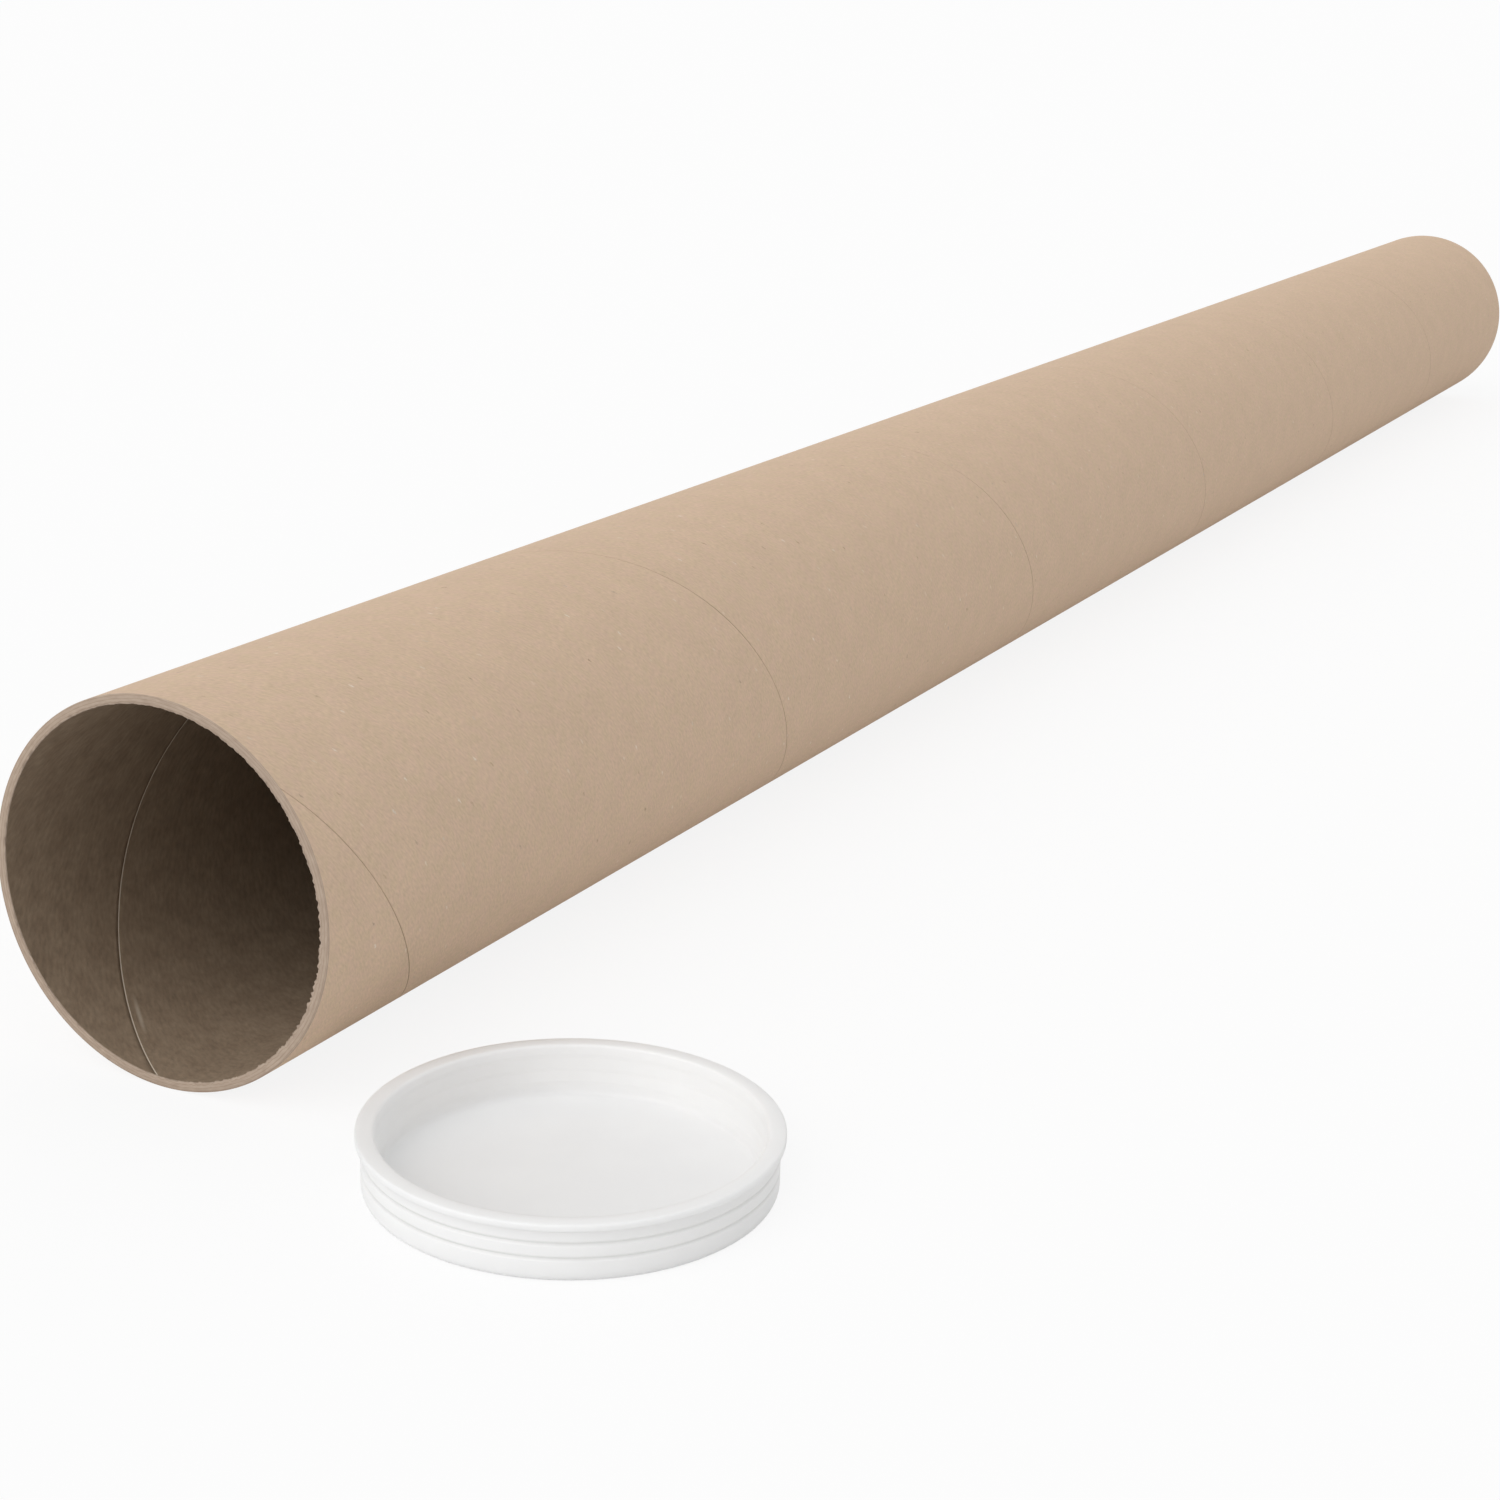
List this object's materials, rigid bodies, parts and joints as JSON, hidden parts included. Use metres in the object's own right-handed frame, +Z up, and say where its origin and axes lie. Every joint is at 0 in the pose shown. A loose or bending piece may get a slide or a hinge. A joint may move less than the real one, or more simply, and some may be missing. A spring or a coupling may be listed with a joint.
{
  "type": "cardboard mailing tube",
  "caption": "Long spiral-wound kraft cardboard mailing tube lying on its side, open at one end, with a milky plastic plug cap loose beside the mouth and another closing the far end.",
  "frame": {"origin": "centre of the open mouth, on the tube's axis, in the plane of its cut end", "axes": "+Y along the tube from the open mouth to the closed far end, +Z up, +X towards the loose cap"},
  "size_m": [0.1684, 1.0347, 0.08],
  "materials": {
    "kraft_board": "matt unbleached kraft paper, wound in a spiral",
    "milky_plastic": "satin, slightly translucent soft polyethylene"
  },
  "bodies": {
    "tube_and_loose_cap": {"tube": "kraft_board", "front_cap": "milky_plastic"},
    "far_cap": {"rear_cap": "milky_plastic"}
  },
  "joints": [
    {"name": "rear_cap_slide", "type": "slide", "parent": "tube_and_loose_cap", "child": "far_cap", "axis": [0, 1, 0], "range_m": [0, 0.05]}
  ]
}
